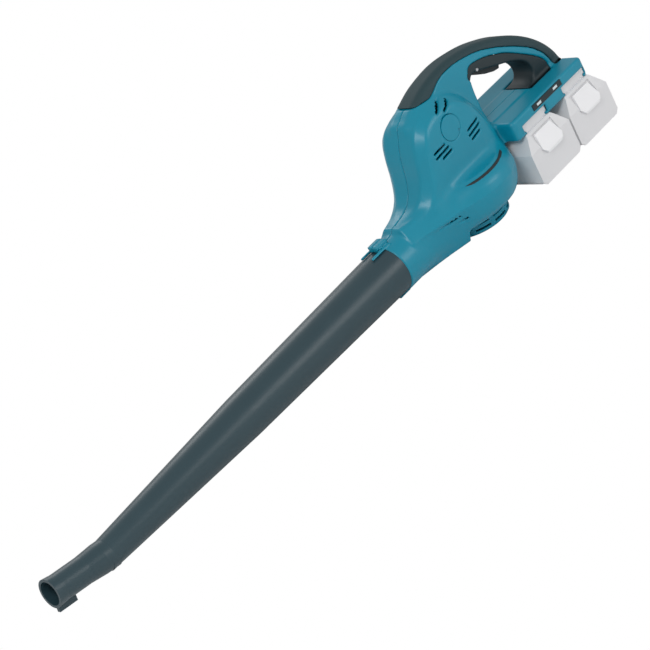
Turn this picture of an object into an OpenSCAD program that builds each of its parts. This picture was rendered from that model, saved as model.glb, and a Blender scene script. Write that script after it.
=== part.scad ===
// Cordless blower with a long nozzle and two slide-on battery packs.
// Millimetres. The origin lies on the fan axis, on the plane the blower stands on.
// +X runs to the rear, -Y is the operator's left and +Z is up.

/* [Fan and volute] */
// Outer radius of the volute drum
volute_r = 67.5; // [64:0.5:76]
// Height of the volute floor above the ground
volute_z0 = 18; // [16:0.5:22]
// Height of the volute roof above the ground
volute_z1 = 70; // [66:0.5:84]
// Bevel round the volute's roof
volute_bevel = 10; // [4:0.5:14]
// Radius of the intake dome
dome_r = 40.5; // [36:0.5:44]
// Wall of the intake dome
dome_wall = 2.2; // [1.6:0.1:3]
// Radius of the dome's screw flange
flange_r = 47; // [46:0.5:50]
// Slots round each row of the dome
dome_slots = 10; // [6:1:11]
// Throat radius of the inlet bellmouth
throat_r = 30; // [24:0.5:34]
// Radius of the impeller
impeller_r = 46; // [38:0.5:54]
// Number of impeller blades
impeller_blades = 11; // [7:2:15]

/* [Body shell] */
// Wall of the two housing halves
wall = 2.4; // [2:0.1:3]
// Half-width of the motor housing
motor_half_w = 36; // [34:0.5:44]
// Half-width of the handle
grip_half_w = 17; // [15:0.5:22]
// Thickness of the soft grip skin
skin = 2.2; // [1.6:0.1:3]
// Radius of the brush covers
cover_r = 14.5; // [14.4:0.1:18]
// Half-width of the battery platform
platform_half_w = 50; // [48:0.5:56]
// Top of the battery platform
platform_z1 = 84; // [84:0.5:88]
// Underside of the battery platform
platform_z0 = 60; // [58:0.5:60]

/* [Outlet and nozzle] */
// Height of the outlet axis above the ground
outlet_z = 33; // [32:0.5:40]
// Outer radius of the outlet duct
duct_r = 30; // [28:0.5:32]
// Where the nozzle's rear rim meets the duct
junction_x = -142; // [-170:1:-130]
// Length of the spigot inside the nozzle
spigot_len = 38; // [25:1:60]
// Outer radius of the nozzle at its rear rim
nozzle_rear_r = 28.9; // [27:0.1:29.2]
// Outer radius of the nozzle where the taper steepens
nozzle_mid_r = 24.7; // [22:0.1:26]
// Outer radius of the nozzle at the bend
nozzle_bend_r = 16.6; // [15.6:0.1:20]
// Length of the nozzle up to the bend
nozzle_len = 473; // [300:1:600]
// Length of the nozzle's slow rear taper
nozzle_rear_len = 258; // [120:1:280]
// Wall of the nozzle
nozzle_wall = 2.2; // [1.6:0.1:2.6]
// Upward bend of the nozzle tip in degrees
tip_angle = 10; // [4:1:20]
// Length of the straight tip beyond the bend
tip_len = 75; // [62:1:110]
// Bore radius of the mouth
mouth_r = 13.2; // [11:0.1:13.6]

/* [Motor] */
// Outer radius of the motor can
can_r = 27; // [24:0.5:30]
// Height of the motor can
can_h = 50.4; // [46:0.2:60]
// Radius of the motor shaft
shaft_r = 4; // [3:0.1:5]

/* [Battery packs] */
// Width of a pack
pack_w = 75; // [70:0.5:76]
// Length of a pack
pack_len = 116; // [112:0.5:130]
// Height of a pack's lower case
pack_seam_z = 41; // [41:0.5:46]
// Gap between the two packs
pack_gap = 3; // [1:0.5:6]
// Half-width of the pack's rail flanges
rail_half_w = 22.7; // [20:0.1:23]
// Travel of the release button
button_travel = 6; // [3:0.5:7]

/* [Hidden] */
$fn = 96;
play = 0.3;            // gap between moving neighbours
fit = 0.05;            // radial clearance of a shaft or pin
seat = 0.1;            // gap round a piece held in the shell
cut = 1;               // how far a cutter runs past a face

// Heights up the fan axis
floor_z = volute_z0 + wall;
roof_z = volute_z1 - wall;
deck_t = 2.5;
deck_rim_h = 4;
impeller_z0 = floor_z + 10.6;
impeller_top = roof_z - 9.6;
can_z1 = roof_z + can_h;
bell_h = 21;
bell_z1 = can_z1 + bell_h;
brush_z = can_z1 + 11;
shaft_top_r = shaft_r - 1;
lower_bearing_r = 11;
lower_bearing_h = 7;
lower_bearing_z = roof_z + deck_t + seat;
upper_bearing_r = 9.5;
upper_bearing_h = 6;
upper_bearing_z = bell_z1 + seat;
motor_top = bell_z1 + upper_bearing_h + 1.6;
armature_r = can_r - 7.3;
commutator_r = 10;

// Packs, front to rear; the volute's flat back stays clear of them
pack_x0 = volute_r - 4.5;
pack_cx = [pack_x0 + pack_w / 2, pack_x0 + 1.5 * pack_w + pack_gap];
back_x = pack_x0 - 2 * play;
platform_x0 = pack_x0;
platform_x1 = pack_cx[1] + rail_half_w + play + wall;
rail_neck = 3.3;
neck_half_w = rail_half_w - 3.5;
head_h = 11.4;
recess_z = platform_z0 + head_h + 2 * play;
recess_y1 = 44;
deck_roof = recess_z + wall;

// Side outlines as [x, z]
front_low = 62;
bulk_side = [
  [-104, front_low], [-93, 69], [-82, 75], [-74, 84], [-66, 99], [-61, 119], [-54, 137], [-46, 148],
  [-35, motor_top + 8], [-8, motor_top + 12], [20, motor_top + 6], [46, 120], [62, 97], [62, front_low]
];
bulk_plan = [
  [-106, -14], [-90, -24], [-70, -motor_half_w + 4], [-45, -motor_half_w], [34, -motor_half_w],
  [64, -motor_half_w + 6], [64, motor_half_w - 6], [34, motor_half_w], [-45, motor_half_w],
  [-70, motor_half_w - 4], [-90, 24], [-106, 14]
];
loop_x1 = platform_x1 + 5;
loop_side = [
  [-46, 148], [-35, 160], [-18, 168], [3, 175], [28, 179], [48, 179], [69, 176], [93, 171], [115, 165],
  [139, 155], [161, 142], [179, 129], [194, 114], [loop_x1 - 5, 97], [loop_x1, 83],
  [loop_x1, platform_z0 + 2], [40, platform_z0 + 2], [-20, 100]
];
opening_z0 = platform_z1 + 0.5;
opening_side = [
  [66, opening_z0 + 6], [68, opening_z0 + 1.5], [74, opening_z0], [140, opening_z0], [152, opening_z0 + 2.5],
  [158, 94], [157, 104], [150, 113], [134, 122], [113, 130.5], [92, 139], [76, 145], [70, 143], [66, 136]
];
liner_side = [
  [70, 143], [68, 150], [76, 156], [99, 151], [135, 134.5], [166, 111.5], [180, 98], [184, 88],
  [180, 80], [160, 80], [140, opening_z0], [152, opening_z0 + 2.5], [158, 94], [157, 104], [150, 113],
  [134, 122], [113, 130.5], [92, 139], [76, 145]
];
liner_pocket = [[78, 147.4], [92, 141.6], [113, 133.1], [127, 127.4], [131, 137.6], [99, 152.4], [78, 157]];
grip_zone = [
  [-60, 190], [-44, 172], [-16, 163], [1, 162], [12, 165], [38, 170], [61, 169.5], [92, 163], [138, 141],
  [169, 120], [186, 102], [loop_x1 - 14, 84], [loop_x1 - 12, 72], [loop_x1 + 20, 72], [loop_x1 + 20, 190]
];

// Trigger and switch
pivot = [82.5, 146];
pin_r = 2;
trigger_half_w = 7.5;
trigger_side = [
  [79, 142], [86, 137], [98, 130.5], [112, 125], [121, 123.5], [123.5, 127.5], [122, 132.5], [100, 141],
  [87, 149.5], [80, 150]
];
switch_side = [[94, 148.5], [128, 141.5], [131, 149.5], [98, 161]];

// Screws through the two halves: [x, z, half-width there]
case_screws = [
  [-50, 112, motor_half_w], [-46, 80, motor_half_w], [44, 80, motor_half_w - 3], [51, 130, grip_half_w],
  [22, 162.4, grip_half_w], [141, 141, grip_half_w], [loop_x1 - 15, 93, grip_half_w]
];
screw_r = 1.5;
head_r = 3;
head_t = 2.4;
sink = 6;
boss_r = 4.4;

// Bayonet at the nozzle's rear rim
// Each ear: [angle about the outlet axis, height of its lug, thickness over the lug]
ears = [[180, 3.4, 4], [0, 1.5, 1.9]];
ear_half_a = 12;
lug_half_a = 8;
ear_reach = 9;
hook_t = 2.4;

// Nozzle bend
bend_x = junction_x - nozzle_len;

// Release button slope, dy per dz
slope = 0.34;
slope_a = atan(slope);

// ---------------------------------------------------------------- helpers

function unit(v) = v / norm(v);
function sum(v, i = 0) = i < len(v) ? v[i] + sum(v, i + 1) : 0;
// Left normal of the edge from a to b
function edge_normal(a, b) = let (e = unit(b - a)) [-e[1], e[0]];
// 1 for an outline that runs clockwise, -1 for one that runs the other way
function winding(points) = let (n = len(points))
  sign(sum([for (i = [0 : n - 1]) cross(points[(i + 1) % n], points[i])]));
// Moves an outline inwards by d, keeping its corners sharp
function inset(points, d) = let (n = len(points), turn = winding(points)) [
  for (i = [0 : n - 1])
    let (n1 = edge_normal(points[(i + n - 1) % n], points[i]), n2 = edge_normal(points[i], points[(i + 1) % n]))
      points[i] - turn * d * (n1 + n2) / (1 + n1 * n2)
];

// Extrudes an [x, z] outline across the body, to half_w either side of the middle
module side_prism(points, half_w) {
  translate([0, half_w, 0]) rotate([90, 0, 0]) linear_extrude(2 * half_w) polygon(points);
}

// Turns a [x, radius] profile about the outlet axis
module turned_x(profile, angle = 360, start = 0) {
  translate([0, 0, outlet_z]) rotate([start, 0, 0]) rotate([0, 90, 0])
    rotate_extrude(angle = angle) polygon([for (p = profile) [p[1], p[0]]]);
}

module tube(r_out, r_in, h) {
  difference() {
    cylinder(r = r_out, h = h);
    translate([0, 0, -cut]) cylinder(r = r_in, h = h + 2 * cut);
  }
}

// A cylinder across the body at [x, z], from y0 to y1
module cross_bar(x, z, r, y0, y1) {
  translate([x, y1, z]) rotate([90, 0, 0]) cylinder(r = r, h = y1 - y0);
}

module block(x0, x1, y0, y1, z0, z1) {
  translate([x0, y0, z0]) cube([x1 - x0, y1 - y0, z1 - z0]);
}

module both_sides() {
  children();
  mirror([0, 1, 0]) children();
}

// A screw along +Z with its head's top face at z = 0 and its shank below
module screw(len, r = screw_r, head = head_r, t = head_t) {
  difference() {
    union() {
      translate([0, 0, -t]) cylinder(r = head, h = t);
      translate([0, 0, -len]) cylinder(r = r, h = len);
    }
    block(-head * 0.6, head * 0.6, -0.4, 0.4, -t * 0.45, cut);
    block(-0.4, 0.4, -head * 0.6, head * 0.6, -t * 0.45, cut);
  }
}

// ---------------------------------------------------------------- body forms

module volute_form(d = 0) {
  intersection() {
    rotate_extrude() polygon([
      [0, volute_z0 + d], [volute_r - 8 - d, volute_z0 + d], [volute_r - d, volute_z0 + 14],
      [volute_r - d, volute_z1 - volute_bevel], [volute_r - volute_bevel + 2 - d, volute_z1 - d],
      [0, volute_z1 - d]
    ]);
    block(-volute_r - cut, back_x - d, -volute_r - cut, volute_r + cut, 0, volute_z1 + cut);
  }
}

duct_z0 = 12;
duct_z1 = 62;
duct_end_x = -flange_r - 1;

module duct_form(d = 0) {
  w = duct_r - d;
  translate([junction_x + d, 0, outlet_z]) rotate([0, 90, 0]) cylinder(r = w, h = duct_end_x - junction_x - 2 * d);
  intersection() {
    translate([0, 0, duct_z0 + d]) linear_extrude(duct_z1 - duct_z0 - 2 * d) polygon([
      [-114, -w + 4], [-70, -w - 14], [-20, -w - 31], [duct_end_x + 20, -w + 4],
      [duct_end_x + 20, w - 4], [-20, w + 31], [-70, w + 14], [-114, w - 4]
    ]);
    union() {
      block(-120, duct_end_x - d, -volute_r, volute_r, 0, 80);
      block(-120, 0, -volute_r, volute_r, volute_z0 + d, 80);
    }
  }
}

module bulk_form(d = 0) {
  intersection() {
    side_prism(inset(bulk_side, d), volute_r);
    translate([0, 0, 40]) linear_extrude(140) polygon(inset(bulk_plan, d));
  }
}

module loop_form(d = 0, lip = 0) {
  difference() {
    side_prism(inset(loop_side, d), grip_half_w - d);
    side_prism(inset(opening_side, -lip), grip_half_w + cut);
  }
}

module platform_form() {
  block(platform_x0, platform_x1, -platform_half_w, platform_half_w, platform_z0, platform_z1);
}

// T-slot that takes a pack's head, open to the left
module rail_slot(cx) {
  for (s = [[neck_half_w, platform_z0 - cut, platform_z0 + rail_neck + play],
            [rail_half_w, platform_z0 + rail_neck - play, recess_z]])
    block(cx - s[0] - play, cx + s[0] + play, -platform_half_w - cut, recess_y1, s[1], s[2]);
}

// Space above the deck for the motor, the wires and the switch
module upper_cavity() {
  intersection() {
    union() {
      bulk_form(wall);
      loop_form(skin + wall, wall);
      block(platform_x0 + wall, platform_x1 - wall, -platform_half_w + wall, platform_half_w - wall,
            deck_roof, platform_z1 - wall);
    }
    side_prism([[-120, roof_z], [-120, 200], [240, 200], [240, deck_roof], [back_x - wall, deck_roof],
                [back_x - wall, roof_z]], volute_r + cut);
  }
}

// Inner radius of the volute at a height in its bevelled roof
function cavity_r(z) =
  volute_r - wall - (z - volute_z1 + volute_bevel) * (volute_bevel - 2) / (volute_bevel - wall);

module lower_cavity() {
  ledge_z = roof_z - deck_rim_h;
  difference() {
    volute_form(wall);
    translate([0, 0, ledge_z - wall]) tube(volute_r, cavity_r(ledge_z) - 5, wall);
  }
  duct_form(wall);
  translate([junction_x - spigot_len - cut, 0, outlet_z]) rotate([0, 90, 0])
    cylinder(r = spigot_bore_r, h = spigot_len + 2 * wall + 2 * cut);
  translate([0, 0, volute_z0 - cut]) cylinder(r = dome_r - dome_wall + 0.7, h = wall + 2 * cut);
}

spigot_r = nozzle_rear_r - nozzle_wall - play - 0.7;
spigot_bore_r = spigot_r - wall + 0.2;

// Hooked ear over one of the nozzle's rear lugs
module ear(e) {
  a = e[0];
  r0 = nozzle_rear_r + play;
  r1 = nozzle_rear_r + e[1] + play;
  x1 = junction_x + 11;
  x0 = junction_x - ear_reach;
  turned_x([[x1, duct_r - 1], [junction_x + play, duct_r - 1], [junction_x + play, r1], [x0 + hook_t, r1],
            [x0 + hook_t, r0], [x0, r0], [x0, r1 + e[2]], [x1, r1 + e[2] * 0.3]],
           angle = 2 * ear_half_a, start = a - ear_half_a);
}

// Alignment finger that lies along the nozzle, beside the top ear
module finger() {
  turned_x([[junction_x + 9, duct_r - 1], [junction_x + 9, duct_r + 2.4], [junction_x - 22, duct_r + 1.6],
            [junction_x - 22, nozzle_rear_r + play], [junction_x + play, nozzle_rear_r + play],
            [junction_x + play, duct_r - 1]],
           angle = 5, start = ears[0][0] + ear_half_a + 2);
}

// Two ribs that hold the motor can in the shell
module motor_cradle() {
  intersection() {
    bulk_form(wall / 2);
    for (z = [roof_z + 16, can_z1 - 10])
      translate([0, 0, z]) tube(motor_half_w + 3, can_r + seat, 3);
  }
}

module screw_bosses() {
  intersection() {
    union() {
      bulk_form();
      loop_form(skin / 2);
    }
    union() for (s = case_screws) cross_bar(s[0], s[1], boss_r, -s[2], s[2]);
  }
}

module board_posts() {
  for (x = board_x, y = [-26, 26])
    translate([x[0] + x[1] * 4, y, deck_roof - cut]) cylinder(r = 2.4, h = board_lift + cut);
}

board_lift = 2;
board_x = [[platform_x0 + 12, 1], [platform_x0 + 92, -1]];
board_half_w = 30;

// Rounded slot through the side wall, from a to b as [x, z]
module side_slot(a, b, w) {
  along = b - a;
  half = norm(along) / 2 - w / 2;
  translate([(a[0] + b[0]) / 2, 0, (a[1] + b[1]) / 2]) rotate([0, -atan2(along[1], along[0]), 0]) {
    block(-half, half, -volute_r, volute_r, -w / 2, w / 2);
    for (x = [-half, half]) translate([x, volute_r, 0]) rotate([90, 0, 0]) cylinder(r = w / 2, h = 2 * volute_r);
  }
}

module vents() {
  upper = [[[12, 159], [-12, 149]], [[14, 151], [-2, 145.5]]];
  rear = [[[34, 112], [15, 109]], [[34, 106], [14, 102.5]], [[31, 99.5], [16, 97]]];
  low = [[[-24, 117], [-43, 116]], [[-20, 111.5], [-43, 110]], [[-18, 106], [-34, 105]]];
  for (s = concat(upper, rear, low)) side_slot(s[0], s[1], 2.6);
}

cover_at = [-6, brush_z - 2];

module housing() {
  difference() {
    union() {
      difference() {
        union() {
          volute_form();
          duct_form();
          bulk_form();
          loop_form();
          platform_form();
          translate([junction_x - spigot_len, 0, outlet_z]) rotate([0, 90, 0])
            cylinder(r = spigot_r, h = spigot_len + wall);
          for (e = ears) ear(e);
          finger();
        }
        upper_cavity();
        lower_cavity();
        vents();
      }
      motor_cradle();
      screw_bosses();
      board_posts();
    }
    side_prism(liner_side, grip_half_w - 0.5);
    grip_skin();
    for (s = case_screws) {
      cross_bar(s[0], s[1], screw_r + fit, -s[2] + sink - play, s[2]);
      cross_bar(s[0], s[1], head_r + play, s[2] - sink, s[2] + cut);
    }
    for (cx = pack_cx) rail_slot(cx);
    cross_bar(cover_at[0], cover_at[1], cover_r + seat, -motor_half_w - cut, motor_half_w + cut);
    indicator_recess();
    for (a = screw_angles) rotate(a) translate([flange_r - 3, 0, volute_z0 - cut])
      cylinder(r = screw_r + fit, h = wall + 2 * cut);
  }
}

module housing_left() {
  color("#02869f") intersection() {
    housing();
    block(-300, 300, -100, 0, -10, 200);
  }
}

module housing_right() {
  color("#02869f") intersection() {
    housing();
    block(-300, 300, 0, 100, -10, 200);
  }
}

module grip_skin() {
  intersection() {
    difference() {
      loop_form();
      side_prism(inset(loop_side, skin), grip_half_w - skin);
    }
    side_prism(grip_zone, grip_half_w + cut);
  }
}

module top_grip() {
  color("#1d3a3f") difference() {
    grip_skin();
    side_prism(liner_side, grip_half_w - 0.5);
    for (s = case_screws) cross_bar(s[0], s[1], head_r + play, s[2] - sink, s[2] + cut);
  }
}

module inner_grip() {
  color("#192f35") difference() {
    side_prism(liner_side, grip_half_w - 0.5);
    side_prism(liner_pocket, grip_half_w - 3);
    block(78.6, 125.5, -trigger_half_w - play, trigger_half_w + play, 120, 158);
    cross_bar(pivot[0], pivot[1], pin_r + fit / 2, -grip_half_w, grip_half_w);
    for (s = case_screws) cross_bar(s[0], s[1], boss_r, -grip_half_w, grip_half_w);
  }
}

module housing_screws() {
  color("silver") for (s = case_screws)
    translate([s[0], s[2] - sink + head_t, s[1]]) rotate([-90, 0, 0]) screw(2 * s[2] - 2 * sink + head_t);
}

// ---------------------------------------------------------------- intake

screw_angles = [60, 180, 300];
dome_floor = 2.2;
flange_t = 2.4;

module intake_grille() {
  color("#02869f") difference() {
    union() {
      cylinder(r = dome_r - 1.5, h = 1.5);
      translate([0, 0, 1.5]) cylinder(r = dome_r, h = volute_z0 - 1.5);
      translate([0, 0, volute_z0 - flange_t]) cylinder(r = flange_r, h = flange_t);
    }
    translate([0, 0, dome_floor]) cylinder(r = dome_r - dome_wall, h = volute_z0);
    for (row = [4, 10.6], i = [0 : dome_slots - 1]) rotate(i * 360 / dome_slots + 18)
      block(dome_r - 8, dome_r + 2, -9.5, 9.5, row, row + 2.6);
    for (a = screw_angles) rotate(a) translate([flange_r - 3, 0, volute_z0 - flange_t - cut])
      cylinder(r = screw_r + fit, h = flange_t + 2 * cut);
  }
}

module grille_screws() {
  color("silver") for (a = screw_angles) rotate(a) translate([flange_r - 3, 0, volute_z0 - flange_t - 1.6])
    rotate([180, 0, 0]) screw(flange_t + wall + 1, head = 2.6, t = 1.6);
}

module inlet_bellmouth() {
  r = dome_r + 2;
  color("#223338") rotate_extrude() polygon([
    [r, floor_z], [r, floor_z + 2], [throat_r + 5, floor_z + 4], [throat_r + 2, floor_z + 9.6],
    [throat_r, floor_z + 9.6], [throat_r, floor_z + 6], [throat_r + 3, floor_z + 2], [dome_r - 4, floor_z]
  ]);
}

module fan_deck() {
  low = roof_z - deck_rim_h;
  rim_r = cavity_r(low) - seat;
  color("#30373a") intersection() {
    difference() {
      rotate_extrude() polygon([
        [shaft_r + 4, roof_z - deck_t], [rim_r - 8, roof_z - deck_t], [rim_r - 7, low], [rim_r, low],
        [cavity_r(roof_z) - seat, roof_z], [shaft_r + 4, roof_z]
      ]);
      for (a = motor_screw_angles) rotate(a) translate([can_r - 9, 0, 0])
        cylinder(r = screw_r + fit, h = volute_z1);
    }
    block(-volute_r, back_x - wall - seat, -volute_r, volute_r, 0, volute_z1);
  }
}

// ---------------------------------------------------------------- motor

motor_screw_angles = [90, 270];

module motor_screws() {
  color("silver") for (a = motor_screw_angles) rotate(a) translate([can_r - 9, 0, roof_z - deck_t - 1.6])
    rotate([180, 0, 0]) screw(deck_t + 4, head = 2.8, t = 1.6);
}

module motor_can() {
  seat_r = lower_bearing_r + seat;
  color("#8d949a") difference() {
    translate([0, 0, roof_z]) union() {
      cylinder(r = can_r, h = can_h);
    }
    difference() {
      translate([0, 0, roof_z + deck_t]) cylinder(r = can_r - wall, h = can_h);
      translate([0, 0, roof_z]) tube(seat_r + 2.4, seat_r, deck_t + lower_bearing_h + 2 * seat);
    }
    translate([0, 0, roof_z + deck_t]) cylinder(r = seat_r, h = can_h);
    translate([0, 0, roof_z - cut]) cylinder(r = shaft_r + 4, h = can_h);
    for (a = motor_screw_angles) rotate(a) translate([can_r - 9, 0, roof_z - cut])
      cylinder(r = screw_r + fit, h = deck_t + 2 * cut);
  }
}

module motor_magnets() {
  color("#3a3a3e") for (a = [30, 210]) rotate(a) translate([0, 0, roof_z + 13])
    rotate_extrude(angle = 120) translate([armature_r + 0.8, 0]) square([can_r - wall - seat - armature_r - 0.8, 32]);
}

holder_w = 11;
holder_h = 14;

module motor_end_bell() {
  plate = 3;
  color("#20262a") difference() {
    union() {
      translate([0, 0, can_z1]) cylinder(r = can_r, h = bell_h);
      translate([0, 0, bell_z1]) cylinder(r = upper_bearing_r + 3, h = upper_bearing_h + 2 * seat);
    }
    translate([0, 0, can_z1 - cut]) cylinder(r = can_r - wall, h = bell_h - plate + cut);
    translate([0, 0, can_z1]) cylinder(r = shaft_top_r + 2, h = bell_h + 20);
    translate([0, 0, bell_z1]) cylinder(r = upper_bearing_r + seat, h = 20);
    block(-holder_w / 2 - seat, holder_w / 2 + seat, -can_r - cut, can_r + cut, brush_z - holder_h / 2 - seat,
          brush_z + holder_h / 2 + seat);
  }
}

brush_w = 6;
brush_h = 9;
cap_y = motor_half_w - wall - seat;
cap_t = 3;

module brush_holders() {
  y0 = commutator_r + 2;
  color("#b08d4a") both_sides() difference() {
    block(-holder_w / 2, holder_w / 2, y0, cap_y - cap_t, brush_z - holder_h / 2, brush_z + holder_h / 2);
    block(-brush_w / 2 - seat, brush_w / 2 + seat, y0 - cut, cap_y + cut, brush_z - brush_h / 2 - seat,
          brush_z + brush_h / 2 + seat);
  }
}

module carbon_brushes() {
  color("#2b2b2b") both_sides() block(-brush_w / 2, brush_w / 2, commutator_r + play, commutator_r + 11,
                                      brush_z - brush_h / 2, brush_z + brush_h / 2);
}

module brush_springs() {
  y0 = commutator_r + 11;
  y1 = cap_y - cap_t;
  turns = 6;
  pitch = (y1 - y0) / turns;
  r = 2.8;
  color("silver") both_sides() translate([0, y0, brush_z]) rotate([-90, 0, 0]) rotate_extrude() polygon(concat(
    [[r - 1.1, 0]], [for (i = [0 : turns - 1], k = [0, 1]) [k == 0 ? r - 0.5 : r, (i + (k + 0.5) / 2) * pitch]],
    [[r - 0.5, y1 - y0], [r - 1.1, y1 - y0]]
  ));
}

module brush_holder_caps() {
  color("#20262a") both_sides() difference() {
    cross_bar(0, brush_z, 8, cap_y - cap_t, cap_y);
    block(-5, 5, cap_y - 1, cap_y + cut, brush_z - 0.6, brush_z + 0.6);
  }
}

module brush_cover() {
  color("#02869f") difference() {
    cross_bar(cover_at[0], cover_at[1], cover_r, motor_half_w - wall, motor_half_w);
    translate([cover_at[0], motor_half_w, cover_at[1]]) rotate([0, 45, 0]) block(cover_r - 3, cover_r + 1, -1, 1, -1.6, 1.6);
  }
}

module brush_cover_right() { brush_cover(); }

module brush_cover_left() { mirror([0, 1, 0]) brush_cover(); }

module lower_bearing() {
  color("silver") translate([0, 0, lower_bearing_z]) tube(lower_bearing_r, shaft_r + fit, lower_bearing_h);
}

module upper_bearing() {
  color("silver") translate([0, 0, upper_bearing_z]) tube(upper_bearing_r, shaft_top_r + fit, upper_bearing_h);
}

module motor_shaft() {
  z0 = impeller_z0 + 2;
  step_z = bell_z1 - 4;
  color("silver") {
    translate([0, 0, z0]) cylinder(r = shaft_r, h = step_z - z0);
    translate([0, 0, step_z]) cylinder(r = shaft_top_r, h = upper_bearing_z + upper_bearing_h + 0.6 - step_z);
  }
}

core_z0 = roof_z + 14.4;
core_h = 26;

module armature_core() {
  slots = 12;
  color("#6d7276") translate([0, 0, core_z0]) difference() {
    tube(armature_r, shaft_r, core_h);
    for (i = [0 : slots - 1]) rotate(i * 360 / slots) block(armature_r - 6, armature_r + 1, -0.9, 0.9, -cut, core_h + cut);
  }
}

module armature_windings() {
  r = armature_r - 2.6;
  color("#b5651d") {
    translate([0, 0, core_z0 - 3.6]) tube(r, shaft_r + 2, 3.6);
    translate([0, 0, core_z0 + core_h]) tube(r, shaft_r + 2, 6);
  }
}

module commutator() {
  bars = 24;
  h = 13;
  color("#b87333") translate([0, 0, brush_z - h / 2]) difference() {
    tube(commutator_r, shaft_r, h);
    for (i = [0 : bars - 1]) rotate(i * 360 / bars) block(commutator_r - 0.6, commutator_r + 1, -0.2, 0.2, 1, h + cut);
  }
}

module impeller() {
  back = 2;
  hub_r = 10;
  hub_h = 16;
  color("#26343a") {
    difference() {
      union() {
        translate([0, 0, impeller_top - back]) cylinder(r = impeller_r, h = back);
        translate([0, 0, impeller_top - hub_h]) cylinder(r = hub_r, h = hub_h);
        for (i = [0 : impeller_blades - 1]) rotate(i * 360 / impeller_blades) translate([hub_r + 6, 0, 0]) rotate(-38)
          block(0, impeller_r - hub_r - 2, -0.8, 0.8, impeller_z0 + 1, impeller_top - 1);
        translate([0, 0, impeller_z0]) tube(impeller_r, throat_r + 1, 1.8);
      }
      translate([0, 0, 0]) cylinder(r = shaft_r, h = 200);
      translate([0, 0, 0]) tube(impeller_r + 30, impeller_r, 200);
    }
  }
}

module impeller_nut() {
  h = 6;
  color("silver") translate([0, 0, impeller_top - 16 - h]) difference() {
    cylinder(r = 7, h = h, $fn = 6);
    translate([0, 0, -cut]) cylinder(r = shaft_r, h = h + 2 * cut);
  }
}

// ---------------------------------------------------------------- switch, board and terminals

module switch_unit() {
  color("#22282b") side_prism(switch_side, grip_half_w - skin - wall - 2 * seat);
}

module trigger_pin() {
  color("silver") cross_bar(pivot[0], pivot[1], pin_r, -grip_half_w + 0.6, grip_half_w - 0.6);
}

module trigger() {
  color("#15262b") difference() {
    side_prism(trigger_side, trigger_half_w);
    cross_bar(pivot[0], pivot[1], pin_r + fit, -grip_half_w, grip_half_w);
  }
}

board_z = deck_roof + board_lift;
board_t = 1.6;

module controller_board() {
  x0 = board_x[0][0];
  x1 = board_x[1][0];
  top = board_z + board_t;
  color("#1f6b3a") {
    block(x0, x1, -board_half_w, board_half_w, board_z, top);
    for (i = [0 : 3]) block(x0 + 14 + 16 * i, x0 + 24 + 16 * i, -16, 16, top - 0.1, top + 2.2);
    for (y = [-22, 22]) block(x0 + 30, x0 + 44, y - 4, y + 4, top - 0.1, top + 1.8);
  }
}

panel_x = [platform_x0 + 40, platform_x0 + 96];
panel_z = [platform_z1 - 9, platform_z1 - 2];
panel_t = 1.2;
led_x = [panel_x[0] + 12, panel_x[1] - 12];

module indicator_recess() {
  block(panel_x[0], panel_x[1], -platform_half_w - cut, -platform_half_w + panel_t, panel_z[0], panel_z[1]);
}

module led_bodies(grow = 0) {
  for (x = led_x) block(x - 4 - grow, x + 4 + grow, -platform_half_w + 0.2, -platform_half_w + panel_t + grow,
                        panel_z[0] + 2 - grow, panel_z[1] - 2 + grow);
}

module indicator_panel() {
  color("#1b3237") difference() {
    block(panel_x[0], panel_x[1], -platform_half_w, -platform_half_w + panel_t, panel_z[0], panel_z[1]);
    translate([0, -1, 0]) led_bodies(0.05);
    led_bodies(0.05);
  }
}

module indicator_leds() {
  color("#d8e4e6") led_bodies();
}

blade_y0 = 16;
blade_x = 12;

module terminal_block(cx) {
  color("#2a2f31") block(cx - neck_half_w, cx + neck_half_w, recess_y1 - 2.6, recess_y1,
                         platform_z0 + 1, recess_z - seat);
}

module front_terminal_block() { terminal_block(pack_cx[0]); }

module rear_terminal_block() { terminal_block(pack_cx[1]); }

module terminal_blades() {
  color("#c9a227") for (cx = pack_cx, x = [-blade_x, blade_x])
    block(cx + x - 0.5, cx + x + 0.5, blade_y0, recess_y1 - 2.6, platform_z0 + rail_neck + 2, recess_z - 1);
}

ribbon_t = 1.6;
ribbon_half_w = 5;
ribbon_path = [
  [platform_x0 + 14, board_z + board_t + ribbon_t / 2 + play], [60, 80.5], [57, 86], [57, 143], [66, 158.6], [95, 158.6]
];

// Points of an open path moved sideways by d
function beside(path, d) = let (n = len(path)) [
  for (i = [0 : n - 1])
    let (n1 = edge_normal(path[max(i - 1, 0)], path[max(i, 1)]),
         n2 = edge_normal(path[min(i, n - 2)], path[min(i + 1, n - 1)]))
      path[i] + d * (n1 + n2) / (1 + n1 * n2)
];

// Flat cable from the controller to the switch
module wiring() {
  back = beside(ribbon_path, -ribbon_t / 2);
  color("#b02a2a") side_prism(concat(beside(ribbon_path, ribbon_t / 2), [for (i = [len(back) - 1 : -1 : 0]) back[i]]),
                              ribbon_half_w);
}

// ---------------------------------------------------------------- nozzle

// Places its children at the bend, +Z along the tip towards the mouth
module at_tip() {
  translate([bend_x, 0, outlet_z]) rotate([0, -90 + tip_angle, 0]) children();
}

flare = 3;
neck_r = mouth_r + 1.8;
bend_bore_r = nozzle_bend_r - nozzle_wall;
tip_taper_len = tip_len - 44;
bend_lap = 6;          // how far the two straight parts run into each other

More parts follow.
